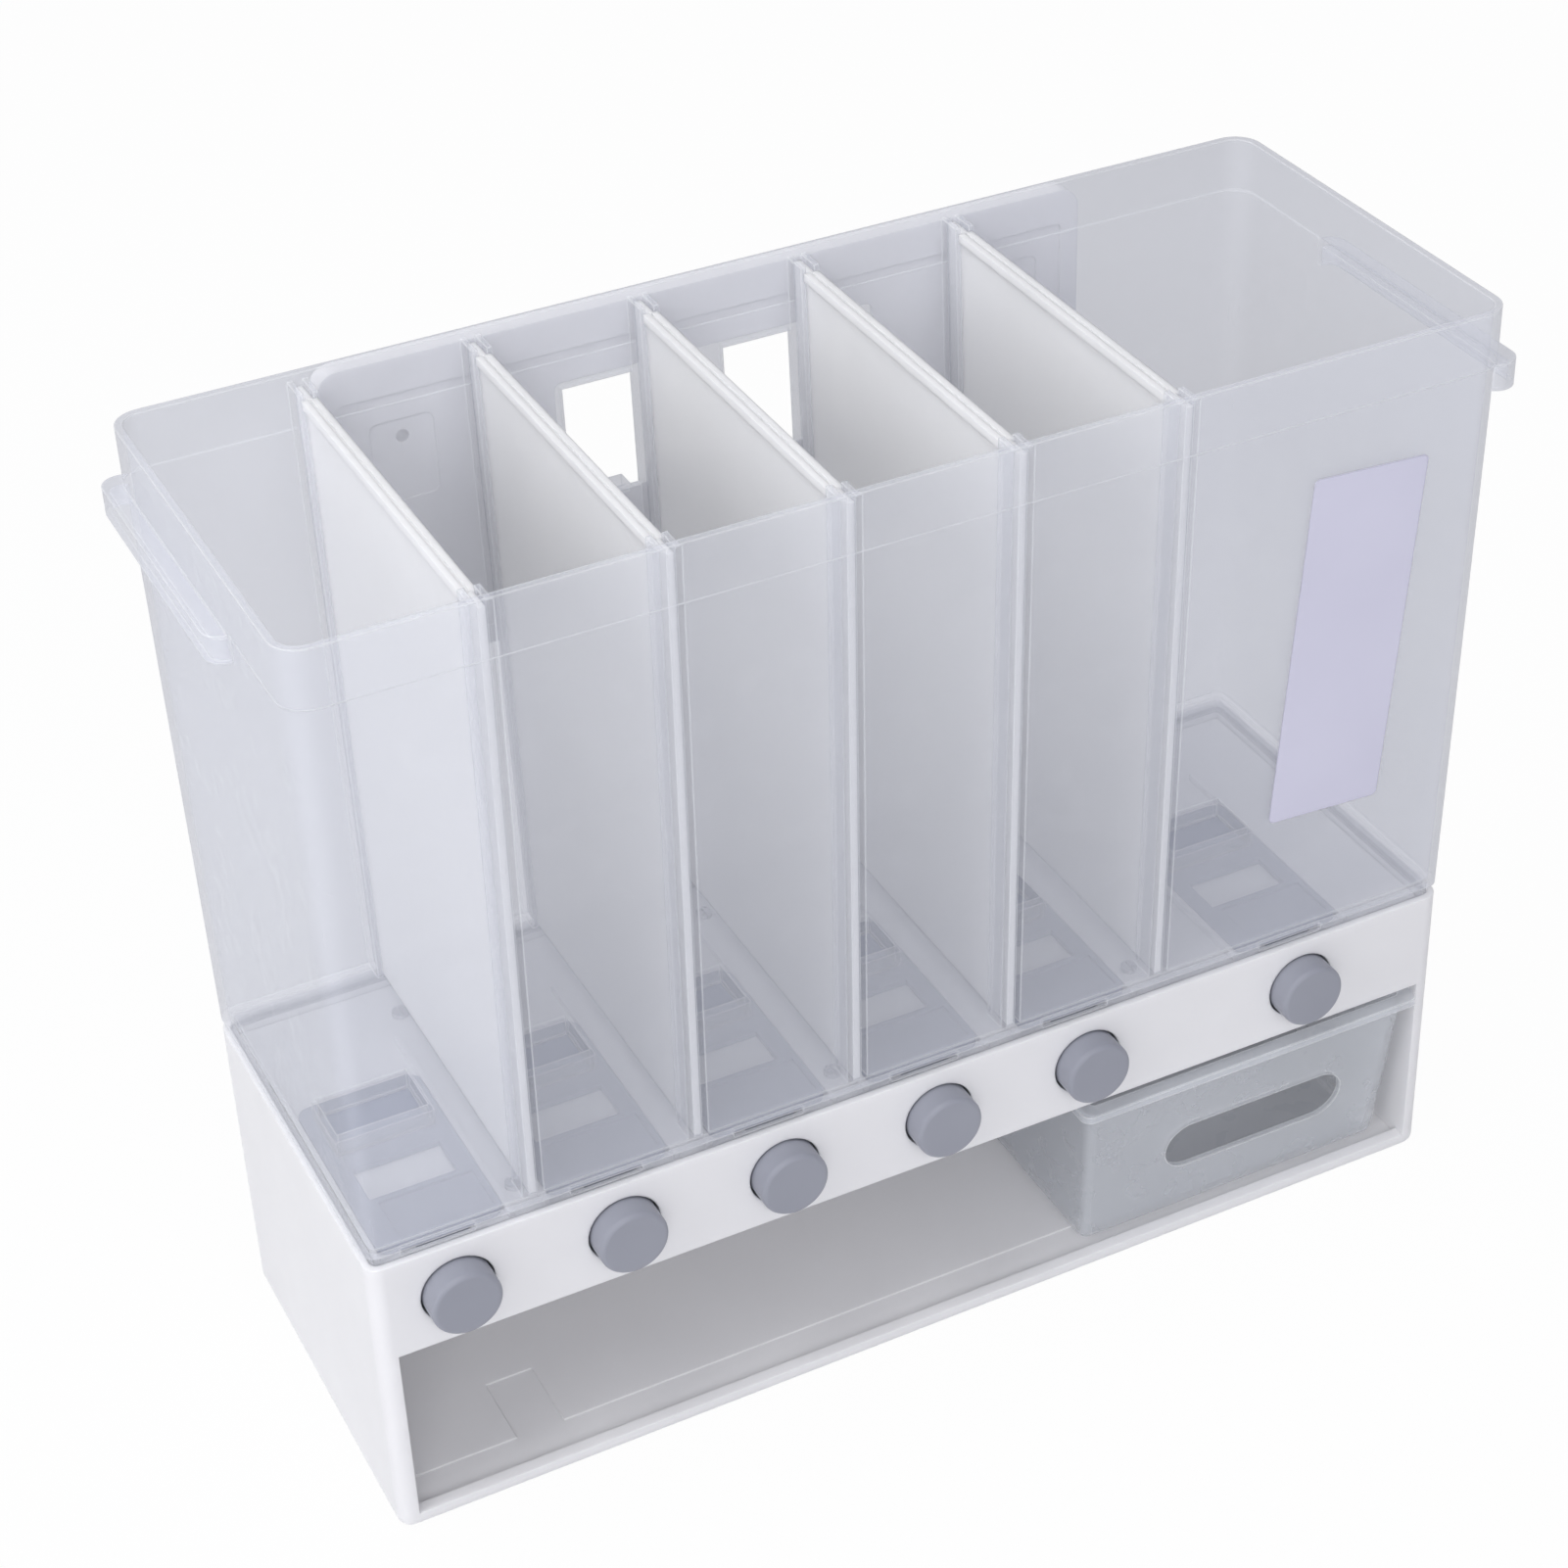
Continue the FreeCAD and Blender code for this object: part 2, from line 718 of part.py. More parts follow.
def make_base():
    hollow = cut("base_shell", base_outside(), base_hollows())
    added = [hollow]
    holes = []
    for step in OUTLET_STEPS:
        x = outlet_x(step)
        added.append(middle_block("chute", x, "chute_y", "chamber_z - over / 2",
                                  "drop_width + 2 * chute_wall", "drop_depth + 2 * chute_wall",
                                  "deck_z - chamber_z + over / 2"))
        added.append(rod("sleeve", x, "face_y + base_wall / 2", "button_height",
                         "hole_radius + sleeve_wall", "sleeve_length - base_wall / 2", lying=True))
        added.append(rod("spring_pin", x, "chute_y - pin_length", "button_height", "pin_radius",
                         "pin_length + chute_wall / 2", lying=True))
        holes.append(middle_block("chute_hole", x, "drop_y", "bay_top - over", "drop_width", "drop_depth",
                                  "deck_z - bay_top + 2 * over"))
        holes.append(rod("button_hole", x, "face_y - over", "button_height", "hole_radius",
                         "sleeve_length + 2 * over", lying=True))
    for x, y in screw_places():
        added.append(rod("boss", x, y, "chamber_z - over / 2", "boss_radius",
                         "deck_z - chamber_z + over / 2"))
        holes.append(rod("pilot", x, y, "deck_z - screw_length", "screw_radius + thread_play",
                         "screw_length + over"))
    base = cut("base_housing", fuse("base_solid", added), holes)
    base.Label = "base_housing"
    return [base]


# The deck plate and its screws


def make_deck():
    """The plate that the sliders run on, with their rails, a drop hole and a slot for each arm."""
    inset = "2 * (seat_wall + deck_play)"
    plate = slab("deck", "0", "base_mid_y", "deck_z", f"base_length - {inset}", f"base_depth - {inset}",
                 "foot_corner - seat_wall - deck_play", "deck_thick")
    added = [plate]
    holes = []
    rail_length = "slider_setback + slider_length + press_travel - rail_setback"
    slot_length = "arm_thick + press_travel + 2 * arm_play - over / 2"
    sleeve_width = "2 * (hole_radius + sleeve_wall + run_gap)"
    for step in OUTLET_STEPS:
        for side in ENDS:
            x = f"{outlet_x(step)} + {side} * (slider_width / 2 + run_gap + rail_width / 2)"
            added.append(middle_block("rail", x, "face_y + rail_setback", "deck_top_z - over / 2",
                                      "rail_width", rail_length, "slider_thick + run_gap + over / 2"))
        holes.append(middle_block("drop_hole", outlet_x(step), "drop_y", "deck_z - over", "drop_width",
                                  "drop_depth", "deck_thick + 2 * over"))
        holes.append(middle_block("arm_slot", outlet_x(step), "slider_y - arm_play", "deck_z - over",
                                  "arm_width + 2 * arm_play", slot_length, "deck_thick + 2 * over"))
        holes.append(middle_block("sleeve_notch", outlet_x(step), "face_y", "deck_z - over", sleeve_width,
                                  "sleeve_length + run_gap", "deck_thick + 2 * over"))
    for x, y in screw_places():
        holes.append(rod("screw_hole", x, y, "deck_z - over", "screw_radius + run_gap",
                         "deck_thick + 2 * over"))
    deck = cut("deck_plate", fuse("deck_solid", added), holes)
    deck.Label = "deck_plate"
    screws = []
    for x, y in screw_places():
        shank = rod("shank", x, y, "deck_top_z - screw_length + over", "screw_radius", "screw_length")
        head = rod("head", x, y, "deck_top_z", "screw_head_radius", "screw_head_height")
        slot = middle_block("drive_slot", x, f"({y}) - screw_head_radius",
                            "deck_top_z + screw_head_height / 2", "screw_radius / 2",
                            "2 * screw_head_radius", "screw_head_height")
        screws.append(cut("screw", fuse("screw_solid", [shank, head]), [slot]))
    group = fuse("deck_screws", screws)
    group.Label = "deck_screws"
    return [deck, group]


# The sliders, the buttons and their springs


def make_slider(index, step):
    """A shutter plate with its window, a shallow recess in front of it, and an arm down to the button."""
    body = document.addObject("PartDesign::Body", f"slider_{index}")
    plate = body_sketch(body, "plate_outline", "XY_Plane")
    bind(plate, "AttachmentOffset.Base.y", "slider_length / 2")
    draw_rounded(plate, "slider_width", "slider_length", "slider_corner")
    pad(body, "plate", plate, "slider_thick")
    arm = body_sketch(body, "arm_outline", "XY_Plane")
    draw_rectangle(arm, "-arm_width / 2", "0", "arm_width", "arm_thick")
    pad(body, "arm", arm, "arm_drop", downward=True)
    window = body_sketch(body, "window_outline", "XY_Plane")
    draw_rectangle(window, "-shutter_width / 2", "shutter_setback", "shutter_width", "shutter_depth")
    pocket(body, "window", window)
    recess = body_sketch(body, "recess_outline", "XY_Plane")
    bind(recess, "AttachmentOffset.Base.z", "slider_thick - recess_depth")
    draw_rectangle(recess, "-recess_left", "2 * recess_border",
                   "recess_left + slider_width / 2 - recess_border", "shutter_setback - 3 * recess_border")
    pocket(body, "recess", recess, "slider_thick", upward=True)
    put(body, outlet_x(step), "slider_y", "slider_z")
    body.Label = f"slider_{index}"
    return body


def make_button(index, step):
    """A hollow round cap with a stem that ends on the slider's arm."""
    body = document.addObject("PartDesign::Body", f"button_{index}")
    half = body_sketch(body, "half_section", "YZ_Plane")
    inner = "button_radius - button_skin"
    draw_outline(half, [("0", "0"), ("button_length", "0"), ("button_length", "stem_radius"),
                        ("button_skin", "stem_radius"), ("button_skin", inner), ("button_length", inner),
                        ("button_length", "button_radius"), ("0", "button_radius")])
    cap = body.newObject("PartDesign::Revolution", "cap")
    cap.Profile = half
    cap.ReferenceAxis = (half, ["H_Axis"])
    cap.Angle = 360
    document.recompute()
    rim = []
    for place, edge in enumerate(cap.Shape.Edges, start=1):
        box = edge.BoundBox
        if abs(box.YMin) < NEAR and abs(box.YMax) < NEAR and box.XLength > number("button_radius"):
            rim.append(f"Edge{place}")
    soft = body.newObject("PartDesign::Fillet", "soft_rim")
    soft.Base = (cap, rim)
    bind(soft, "Radius", "button_edge")
    put(body, outlet_x(step), "button_y", "button_height")
    body.Label = f"button_{index}"
    return body


def half_turn(start, start_way, end, end_way):
    """Two arcs that leave start along start_way and reach end along end_way."""
    span = end - start
    both = start_way + end_way
    lean = 2 * (1 - start_way.dot(end_way))
    drop = span.dot(both)
    reach = (math.sqrt(drop * drop + lean * span.dot(span)) - drop) / lean
    joint = (start + start_way * reach + end - end_way * reach) * 0.5
    return [arc_from(start, start_way, joint), arc_from(end, end_way * -1, joint)]


def arc_from(start, way, end):
    """The arc from start, where it points along way, to end."""
    chord = end - start
    half_angle = way.getAngle(chord)
    outward = way - chord * (way.dot(chord) / chord.dot(chord))
    outward.normalize()
    top = (start + end) * 0.5 + outward * (chord.Length / 2 * math.tan(half_angle / 2))
    return Part.Arc(start, top, end).toShape()


def coil_spring(length, coil_radius, wire_radius):
    """A compression spring along +Y, wound from arcs, with both ends ground flat."""
    rise = (length - 2 * wire_radius) / COILS
    travel = rise / 2
    edges = []
    for turn in range(2 * COILS):
        spots = []
        ways = []
        for step in (turn, turn + 1):
            angle = math.pi * step
            spots.append(FreeCAD.Vector(coil_radius * math.cos(angle), wire_radius + travel * step,
                                        coil_radius * math.sin(angle)))
            way = FreeCAD.Vector(-coil_radius * math.sin(angle), travel / math.pi,
                                 coil_radius * math.cos(angle))
            way.normalize()
            ways.append(way)
        edges += half_turn(spots[0], ways[0], spots[1], ways[1])
    path = Part.Wire(Part.__sortEdges__(edges))
    first = FreeCAD.Vector(coil_radius, wire_radius, 0)
    first_way = FreeCAD.Vector(0, travel / math.pi, coil_radius)
    ring = Part.Wire(Part.makeCircle(wire_radius, first, first_way))
    return path.makePipeShell([ring], True, False)


def make_spring(index, step, shape):
    spring = document.addObject("Part::Feature", f"return_spring_{index}")
    spring.Shape = shape
    start_y = number("arm_rear_y + coil_play")
    place = FreeCAD.Vector(number(outlet_x(step)), start_y, number("button_height"))
    spring.Placement = FreeCAD.Placement(place, FreeCAD.Rotation())
    spring.Label = f"return_spring_{index}"
    return spring


def make_valves():
    length = number("spring_length")
    coil_radius = number("coil_radius")
    wire_radius = number("wire_radius")
    shape = coil_spring(length, coil_radius, wire_radius)
    turn_gap = (length - 2 * wire_radius) / COILS - 2 * wire_radius
    print(f"springs: {COILS} coils each, least gap between turns {turn_gap:.2f} mm")
    made = []
    for index, step in enumerate(OUTLET_STEPS, start=1):
        made.append(make_slider(index, step))
        made.append(make_button(index, step))
        made.append(make_spring(index, step, shape))
    return made


# The collecting tray


def tray_loft(name, inset, low, high):
    """The tray's drafted body, drawn in by inset all round."""
    foot_length = f"tray_body_length - 2 * tray_side_draft - 2 * ({inset})"
    foot_depth = f"tray_body_depth - tray_face_draft - tray_rear_draft - 2 * ({inset})"
    foot_y = "tray_body_mid_y + (tray_face_draft - tray_rear_draft) / 2"
    corner = f"tray_corner - ({inset})"
    foot = rounded(name + "_foot", "tray_mid_x", foot_y, low, foot_length, foot_depth, corner)
    mouth = rounded(name + "_mouth", "tray_mid_x", "tray_body_mid_y", high,
                    f"tray_body_length - 2 * ({inset})", f"tray_body_depth - 2 * ({inset})", corner)
    return loft(name, [foot, mouth])


def make_tray():
    outer = tray_loft("tray_outer", "0", "tray_z", "tray_top")
    body = round_edges("tray_edges", outer, "tray_edge", lambda edge: level(edge, number("tray_z")))
    inner = tray_loft("tray_inner", "tray_wall", "tray_z + tray_wall", "tray_top + over")
    hollow = round_edges("tray_hollow", inner, "tray_edge - tray_wall",
                         lambda edge: level(edge, number("tray_z + tray_wall")))
    rim = slab("tray_rim_plate", "tray_mid_x", "(tray_rear_y + tray_face_y) / 2", "tray_top - tray_rim",
               "tray_length", "tray_rear_y - tray_face_y", "tray_corner", "tray_rim")
    slot = slab("handle_slot", "tray_mid_x + handle_shift", "tray_face_y + handle_reach", "handle_z",
                "handle_length", "handle_height", "handle_height / 2 - flat", "handle_reach + over",
                upright=True)
    tray = cut("collecting_tray", fuse("tray_solid", [body, rim]), [hollow, slot])
    tray.Label = "collecting_tray"
    return [tray]


# The label


def make_label():
    """A bare strip on the tub's sloping front wall, a little askew."""
    body = document.addObject("PartDesign::Body", "label")
    outline = body_sketch(body, "outline", "XZ_Plane")
    draw_rounded(outline, "label_width", "label_height", "label_corner")
    pad(body, "strip", outline, "label_thick")
    slope = math.degrees(math.atan2(number("face_draft - rim_step"), number("rim_z - floor_z")))
    askew = FreeCAD.Rotation(FreeCAD.Vector(0, 1, 0), number("label_tilt"))
    lean = FreeCAD.Rotation(FreeCAD.Vector(1, 0, 0), slope)
    body.Placement = FreeCAD.Placement(FreeCAD.Vector(), lean.multiply(askew))
    share = "(label_z - floor_z) / (rim_z - floor_z)"
    put(body, f"{outlet_x(OUTLET_STEPS[-1])} + label_shift",
        f"face_y - (face_draft - rim_step) * {share} - label_play", "label_z")
    body.Label = "label"
    return [body]


# The wall bracket


def make_bracket():
    """A shallow tray-shaped plate whose border and bosses stand on the wall."""
    mid_z = "bracket_z + bracket_height / 2"
    shape = ("bracket_length", "bracket_height", "bracket_corner")
    plate = slab("bracket_plate", "0", "bracket_rear_y", mid_z, *shape, "bracket_thick", upright=True)
    skirt = slab("bracket_skirt", "0", "wall_y", mid_z, *shape, "wall_y - bracket_rear_y", upright=True)
    room = slab("bracket_room", "0", "wall_y + over", mid_z, "bracket_length - 2 * bracket_thick",
                "bracket_height - 2 * bracket_thick", "bracket_corner - bracket_thick",
                "wall_y + over - bracket_rear_y", upright=True)
    panel = slab("bracket_panel", "0", "bracket_face_y + panel_step",
                 f"{mid_z} - (panel_top - panel_side) / 2",
                 "bracket_length - 2 * panel_side", "bracket_height - panel_side - panel_top",
                 "bracket_corner - panel_side + over", "panel_step + over", upright=True)
    opening = slab("bracket_opening", "0", "wall_y + over", "window_sill + window_height / 2",
                   "opening_width", "window_height", "window_corner", "wall_gap + 2 * over", upright=True)
    added = [plate, cut("bracket_border", skirt, [room])]
    holes = [panel, opening]
    for side in ENDS:
        x = f"{side} * screw_spacing / 2"
        for row in (0, 1):
            z = f"screw_line - {row} * screw_pitch"
            added.append(rod("wall_boss", x, "bracket_rear_y - over / 2", z, "wall_boss_radius",
                             "wall_y - bracket_rear_y + over / 2", lying=True))
            holes.append(rod("wall_hole", x, "bracket_face_y - over", z, "wall_screw_radius",
                             "wall_gap + 2 * over", lying=True))
        holes.append(slab("bracket_pocket", x, "bracket_face_y + pocket_depth",
                          "screw_line + pocket_above - pocket_height / 2", "pocket_width", "pocket_height",
                          "window_corner", "pocket_depth + over", upright=True))
    bracket = cut("wall_bracket", fuse("bracket_solid", added), holes)
    bracket.Label = "wall_bracket"
    return [bracket]


def make_parts():
    nodes = make_tub()
    for index in range(DIVIDERS):
        nodes += make_divider(index)
    nodes += make_base()
    nodes += make_deck()
    nodes += make_valves()
    nodes += make_tray()
    nodes += make_label()
    nodes += make_bracket()
    return nodes


def check(nodes):
    """Stop where an object has failed or a piece is not sound."""
    for thing in document.Objects:
        for state in ("Invalid", "Error"):
            if state in thing.State:
                raise RuntimeError(f"{thing.Name} is {state}")
    for node in nodes:
        if node.Shape.isNull() or not node.Shape.isValid():
            raise RuntimeError(f"{node.Label} has no sound shape")
        solids = node.Shape.Solids
        print(f"{node.Label}: {len(solids)} solid, {node.Shape.Volume / 1000:.2f} cm3")


def write(nodes):
    os.makedirs("parts", exist_ok=True)
    for node in nodes:
        node.Shape.exportStep(f"parts/{node.Label}.step")


nodes = make_parts()
document.recompute()
check(nodes)
write(nodes)
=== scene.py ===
import math

import bpy
from mathutils import Matrix, Vector

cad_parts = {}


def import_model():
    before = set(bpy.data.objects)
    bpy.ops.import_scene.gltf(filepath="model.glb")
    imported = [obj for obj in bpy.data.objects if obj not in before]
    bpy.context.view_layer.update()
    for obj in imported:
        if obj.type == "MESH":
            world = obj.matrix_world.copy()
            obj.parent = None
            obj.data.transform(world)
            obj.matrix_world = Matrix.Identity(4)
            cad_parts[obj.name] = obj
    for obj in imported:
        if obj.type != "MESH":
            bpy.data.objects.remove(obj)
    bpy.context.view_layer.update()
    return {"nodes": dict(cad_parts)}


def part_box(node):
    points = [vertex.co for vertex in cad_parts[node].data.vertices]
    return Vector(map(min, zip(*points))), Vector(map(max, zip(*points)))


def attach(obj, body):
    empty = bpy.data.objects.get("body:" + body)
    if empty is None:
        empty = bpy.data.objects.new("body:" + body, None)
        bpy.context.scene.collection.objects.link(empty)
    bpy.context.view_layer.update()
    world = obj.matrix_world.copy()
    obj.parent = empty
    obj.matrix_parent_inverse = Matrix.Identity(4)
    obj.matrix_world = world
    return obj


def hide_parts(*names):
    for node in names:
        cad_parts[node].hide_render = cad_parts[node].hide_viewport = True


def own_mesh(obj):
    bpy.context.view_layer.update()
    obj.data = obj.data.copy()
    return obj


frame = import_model()

# The photograph's side in pixels.
PHOTO_SIDE = 1601

# The photograph's camera, fitted to the object's edges: where it stands, where it looks and its lens.
CAMERA_PLACE = Vector((-0.42492, -0.86139, 0.86605))
CAMERA_AZIMUTH = math.radians(-26.07)
CAMERA_ELEVATION = math.radians(34.45)
CAMERA_ROLL = math.radians(-1.884)
FOCAL_PIXELS = 3428.9
CENTRE_PIXEL = (838.4, 770.5)
SENSOR_WIDTH = 36.0
FARTHEST_SEEN = 100

# The pieces that come in numbered rows.
DIVIDERS = range(1, 6)
BUTTONS = range(1, 7)

# The return springs: how the wire is wound.
SPRING_TURNS = 8
STEPS_PER_TURN = 24
SPRING_RADIUS = 0.0042
WIRE_RADIUS = 0.00045
WIRE_ROUNDNESS = 3

# Most of a noise texture's values lie in the middle of 0 to 1, so that part of it is spread out.
NOISE_LOW = 0.3
NOISE_HIGH = 0.7
TINT_LOW = 0.32
TINT_HIGH = 0.68

# The surfaces: how deep the fine bumps are, how far edges are rounded, and how wide the painted highlight
# along an edge is.
BUMP_DEPTH = 0.0001
EDGE_ROUNDING = 0.0006
PAINTED_HIGHLIGHT_WIDTH = 0.0011
BEVEL_SAMPLES = 4

# How well a rounded direction agrees with the face's own, on a plain face and on an edge.
FACE_AGREEMENT = 0.995
EDGE_AGREEMENT = 0.86

# The places of the colour sockets on a Mix node.
MIX_FACTOR = 0
MIX_FIRST = 6
MIX_SECOND = 7
MIX_RESULT = 2

# The floor: half its side, how far it lies under the object, and its colour.
FLOOR_HALF = 12.0
FLOOR_DROP = 0.0002
FLOOR_COLOUR = (0.74, 0.74, 0.75, 1)

# How much of the floor's own glow is seen, straight on and through the frosted plastic.
GLOW_IN_THE_OPEN = 0.97
GLOW_BEHIND_PLASTIC = 0.14

WORLD_COLOUR = (0.93, 0.935, 1.0, 1)
WORLD_STRENGTH = 0.38


# Materials


class Nodes:
    """A material's node tree, with short ways to add nodes and links."""

    def __init__(self, name):
        self.material = bpy.data.materials.new(name)
        self.material.use_nodes = True
        self.tree = self.material.node_tree
        self.shader = self.tree.nodes["Principled BSDF"]

    def add(self, kind, **values):
        node = self.tree.nodes.new(kind)
        for key, value in values.items():
            setattr(node, key, value)
        return node

    def link(self, source, target):
        self.tree.links.new(source, target)

    def put(self, **values):
        for key, value in values.items():
            self.shader.inputs[key.replace("_", " ")].default_value = value


def noise(nodes, scale, detail=3.0):
    """A noise texture that stays fixed to the object."""
    place = nodes.add("ShaderNodeTexCoord")
    texture = nodes.add("ShaderNodeTexNoise")
    texture.inputs["Scale"].default_value = scale
    texture.inputs["Detail"].default_value = detail
    nodes.link(place.outputs["Object"], texture.inputs["Vector"])
    return texture.outputs["Fac"]


def vary_roughness(nodes, scale, middle, spread):
    """Let a noise texture move the roughness by spread to either side of the middle."""
    band = nodes.add("ShaderNodeMapRange")
    band.inputs["From Min"].default_value = NOISE_LOW
    band.inputs["From Max"].default_value = NOISE_HIGH
    band.inputs["To Min"].default_value = middle - spread
    band.inputs["To Max"].default_value = middle + spread
    nodes.link(noise(nodes, scale), band.inputs["Value"])
    nodes.link(band.outputs["Result"], nodes.shader.inputs["Roughness"])


def tint(nodes, texture, first, second):
    """Let a noise texture mix two near colours, and return the mixed colour."""
    ramp = nodes.add("ShaderNodeValToRGB")
    start, end = ramp.color_ramp.elements
    start.position = TINT_LOW
    start.color = (*first, 1)
    end.position = TINT_HIGH
    end.color = (*second, 1)
    nodes.link(texture, ramp.inputs["Fac"])
    nodes.link(ramp.outputs["Color"], nodes.shader.inputs["Base Color"])
    return ramp.outputs["Color"]


def rounded(nodes, radius):
    """The direction that the surface faces, with its edges rounded."""
    bevel = nodes.add("ShaderNodeBevel", samples=BEVEL_SAMPLES)
    bevel.inputs["Radius"].default_value = radius
    return bevel.outputs["Normal"]


def skin(nodes, scale, strength):
    """A moulded surface: fine bumps over rounded edges."""
    bump = nodes.add("ShaderNodeBump")
    bump.inputs["Strength"].default_value = strength
    bump.inputs["Distance"].default_value = BUMP_DEPTH
    nodes.link(rounded(nodes, EDGE_ROUNDING), bump.inputs["Normal"])
    nodes.link(noise(nodes, scale, detail=2.0), bump.inputs["Height"])
    nodes.link(bump.outputs["Normal"], nodes.shader.inputs["Normal"])


def edge_mask(nodes):
    """A factor that rises from 0 on a face to 1 along its edges, where rounding turns it most."""
    shape = nodes.add("ShaderNodeNewGeometry")
    agreement = nodes.add("ShaderNodeVectorMath", operation="DOT_PRODUCT")
    nodes.link(rounded(nodes, PAINTED_HIGHLIGHT_WIDTH), agreement.inputs[0])
    nodes.link(shape.outputs["True Normal"], agreement.inputs[1])
    rise = nodes.add("ShaderNodeMapRange")
    rise.inputs["From Min"].default_value = FACE_AGREEMENT
    rise.inputs["From Max"].default_value = EDGE_AGREEMENT
    nodes.link(agreement.outputs["Value"], rise.inputs["Value"])
    return rise.outputs["Result"]


def frosted_material(name, first, second, highlight_colour, face_alpha, edge_alpha, rough):
    """Translucent plastic: a haze that things show through, thicker at the edges, where a painted
    highlight also mixes in a paler colour.
    """
    nodes = Nodes(name)
    nodes.put(IOR=1.49, Specular_IOR_Level=0.5)
    haze = tint(nodes, noise(nodes, scale=4.0, detail=1.0), first, second)
    mask = edge_mask(nodes)
    # Painted highlight: along the edges the haze colour is mixed toward a pale colour that stands in for
    # light caught there.
    painted_edge_highlight = nodes.add("ShaderNodeMix", data_type="RGBA")
    painted_edge_highlight.inputs[MIX_SECOND].default_value = (*highlight_colour, 1)
    nodes.link(mask, painted_edge_highlight.inputs[MIX_FACTOR])
    nodes.link(haze, painted_edge_highlight.inputs[MIX_FIRST])
    nodes.link(painted_edge_highlight.outputs[MIX_RESULT], nodes.shader.inputs["Base Color"])
    # The same edge mask makes the edges less see-through, like a longer path through the plastic.
    body = nodes.add("ShaderNodeMapRange")
    body.inputs["To Min"].default_value = face_alpha
    body.inputs["To Max"].default_value = edge_alpha
    nodes.link(mask, body.inputs["Value"])
    nodes.link(body.outputs["Result"], nodes.shader.inputs["Alpha"])
    vary_roughness(nodes, scale=60.0, middle=rough, spread=0.06)
    skin(nodes, scale=700.0, strength=0.12)
    return nodes.material


def plastic_material(name, first, second, rough, depth=0.0):
    """Moulded plastic. depth is how far light wanders inside it before it comes out, in metres."""
    nodes = Nodes(name)
    nodes.put(IOR=1.47, Specular_IOR_Level=0.45)
    if depth > 0:
        nodes.put(Subsurface_Weight=1.0, Subsurface_Scale=depth, Subsurface_Radius=(1.0, 1.0, 1.0))
    tint(nodes, noise(nodes, scale=14.0), first, second)
    vary_roughness(nodes, scale=90.0, middle=rough, spread=0.05)
    skin(nodes, scale=1500.0, strength=0.15)
    return nodes.material


def steel_material(name):
    """Drawn wire, with a slightly uneven shine."""
    nodes = Nodes(name)
    nodes.put(Metallic=1.0)
    tint(nodes, noise(nodes, scale=200.0), first=(0.52, 0.52, 0.53), second=(0.60, 0.60, 0.61))
    vary_roughness(nodes, scale=300.0, middle=0.29, spread=0.07)
    return nodes.material


def dress(name, material):
    """Give a CAD node its material."""
    thing = frame["nodes"][name]
    slots = thing.data.materials
    if len(slots) == 0:
        slots.append(material)
    for index in range(len(slots)):
        slots[index] = material


def dress_all(steel):
    """Make the plastics, and give each CAD node its own."""
    # The pale colour given for the edges of the tub and the tray is a painted highlight.
    frosted = frosted_material("frosted_tub", first=(0.84, 0.86, 0.93), second=(0.87, 0.89, 0.96),
                               highlight_colour=(0.97, 0.98, 1.0), face_alpha=0.21, edge_alpha=0.68, rough=0.30)
    tray = frosted_material("frosted_tray", first=(0.89, 0.92, 0.98), second=(0.92, 0.95, 0.99),
                            highlight_colour=(0.98, 0.98, 1.0), face_alpha=0.28, edge_alpha=0.76, rough=0.28)
    divider = plastic_material("divider_plastic", first=(0.88, 0.88, 0.88), second=(0.91, 0.91, 0.91),
                               rough=0.42, depth=0.004)
    white = plastic_material("white_plastic", first=(0.87, 0.865, 0.875), second=(0.90, 0.895, 0.905),
                             rough=0.38, depth=0.0015)
    grey = plastic_material("grey_plastic", first=(0.30, 0.31, 0.36), second=(0.33, 0.34, 0.39),
                            rough=0.45)
    slider = plastic_material("slider_plastic", first=(0.26, 0.285, 0.37), second=(0.29, 0.315, 0.40),
                              rough=0.45)
    film = plastic_material("label_film", first=(0.66, 0.65, 0.78), second=(0.70, 0.69, 0.82), rough=0.5)
    dress("tub", frosted)
    dress("collecting_tray", tray)
    for index in DIVIDERS:
        dress(f"divider_{index}", divider)
    for index in BUTTONS:
        dress(f"slider_{index}", slider)
        dress(f"button_{index}", grey)
    for name in ("base_housing", "deck_plate", "wall_bracket"):
        dress(name, white)
    dress("deck_screws", steel)
    dress("label", film)


# The return springs


def spring_path(name, low, high):
    """A wire wound along Y from one end of a box to the other."""
    middle = (low + high) / 2
    length = high.y - low.y - 2 * WIRE_RADIUS
    steps = STEPS_PER_TURN * SPRING_TURNS
    curve = bpy.data.curves.new(name, "CURVE")
    curve.dimensions = "3D"
    curve.bevel_depth = WIRE_RADIUS
    curve.bevel_resolution = WIRE_ROUNDNESS
    curve.use_fill_caps = True
    line = curve.splines.new("POLY")
    line.points.add(steps)
    for step, point in enumerate(line.points):
        share = step / steps
        angle = 2 * math.pi * SPRING_TURNS * share
        x = middle.x + SPRING_RADIUS * math.cos(angle)
        y = low.y + WIRE_RADIUS + length * share
        z = middle.z + SPRING_RADIUS * math.sin(angle)
        point.co = (x, y, z, 1)
    return curve


def spring(index, steel):
    """A wound wire in the place of the CAD spring."""
    node = f"return_spring_{index}"
    low, high = (Vector(corner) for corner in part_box(node))
    wire = bpy.data.objects.new(f"wire_path_{index}", spring_path(f"spring_wire_{index}", low, high))
    mesh = bpy.data.meshes.new_from_object(wire)
    bpy.data.objects.remove(wire)
    mesh.materials.append(steel)
    mesh.shade_smooth()
    thing = bpy.data.objects.new(f"spring_wire_{index}", mesh)
    bpy.context.scene.collection.objects.link(thing)
    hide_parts(node)
    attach(thing, "base")
    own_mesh(thing)


# The stage


